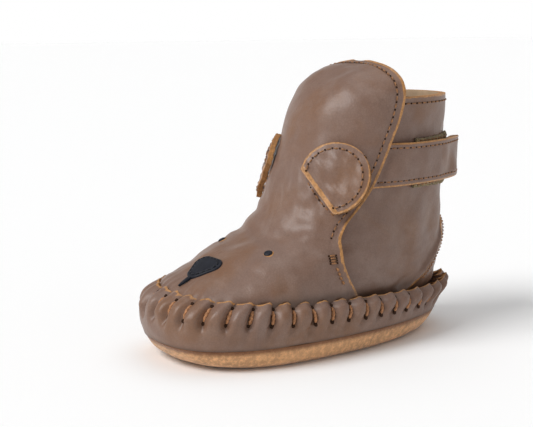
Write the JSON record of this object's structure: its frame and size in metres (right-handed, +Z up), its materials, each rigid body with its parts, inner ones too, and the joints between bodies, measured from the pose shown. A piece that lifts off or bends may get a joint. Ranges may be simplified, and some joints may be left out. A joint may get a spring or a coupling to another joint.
{
  "type": "baby bootie",
  "caption": "Soft leather bootie for a baby's left foot: puckered hand-stitched sole wall, animal-face vamp, fold-open tongue flap with stand-off ears, hook and loop strap.",
  "frame": {"origin": "on the ground in the middle of the bootie's box", "axes": "+Z up, toe towards -Y, +X to the wearer's left, the outer side with the strap"},
  "size_m": [0.062, 0.1159, 0.0922],
  "materials": {
    "leather": "smooth aniline cow leather, soft sheen",
    "lining_leather": "undyed sheepskin lining leather, matt",
    "suede_sole": "tan suede split, speckled",
    "foam": "soft cell foam",
    "hand_thread": "thick waxed thread",
    "thread": "fine waxed sewing thread",
    "black_leather": "black leather, soft sheen",
    "black_thread": "black sewing thread",
    "loop_tape": "olive brown loop tape",
    "hook_tape": "olive brown hook tape"
  },
  "bodies": {
    "boot": {"outsole": "suede_sole", "midsole_foam": "foam", "insole": "lining_leather", "vamp_lining": "lining_leather", "quarter_lining": "lining_leather", "sidewall": "leather", "vamp": "leather", "quarter": "leather", "heel_gusset": "leather", "hand_stitches": "hand_thread", "vamp_seam_thread_left": "thread", "vamp_seam_thread_right": "thread", "bar_tack_left": "thread", "bar_tack_right": "thread", "quarter_top_thread": "thread", "gusset_seam_thread": "thread", "loop_pad_thread": "thread", "eye_left": "black_leather", "eye_right": "black_leather", "nose_patch": "black_leather", "mouth_strip": "black_leather", "nose_thread": "black_thread", "loop_pad": "loop_tape"},
    "flap": {"tongue_flap": "leather", "strap_root": "leather", "flap_lining": "lining_leather", "flap_edge_thread": "thread", "ear_left_base_thread": "thread", "ear_right_base_thread": "thread"},
    "strap": {"strap": "leather", "strap_lining": "lining_leather", "hook_tape": "hook_tape", "strap_thread": "thread"},
    "ear_left": {"ear_left_front": "leather", "ear_left_back": "leather", "ear_left_thread": "thread"},
    "ear_right": {"ear_right_front": "leather", "ear_right_back": "leather", "ear_right_thread": "thread"}
  },
  "joints": [
    {"name": "flap_fold", "type": "hinge", "parent": "boot", "child": "flap", "pos_m": [0, -0.0163, 0.042], "axis": [1, 0, 0], "range_deg": [0, 40]},
    {"name": "strap_swing", "type": "hinge", "parent": "flap", "child": "strap", "pos_m": [0.0252, 0.0173, 0.0594], "axis": [0, 0, -1], "range_deg": [0, 110]},
    {"name": "ear_left_lift", "type": "hinge", "parent": "flap", "child": "ear_left", "pos_m": [0.01554, -0.00648, 0.05156], "axis": [0.6689, 0.2113, -0.7127], "range_deg": [0, 60], "stiffness_Nm_per_rad": 0.002},
    {"name": "ear_right_lift", "type": "hinge", "parent": "flap", "child": "ear_right", "pos_m": [-0.01554, -0.00648, 0.05156], "axis": [0.6689, -0.2113, 0.7127], "range_deg": [0, 60], "stiffness_Nm_per_rad": 0.002}
  ],
  "couplings": [
    {"joint": "strap_swing", "follows": "flap_fold", "ratio": 2.75}
  ]
}
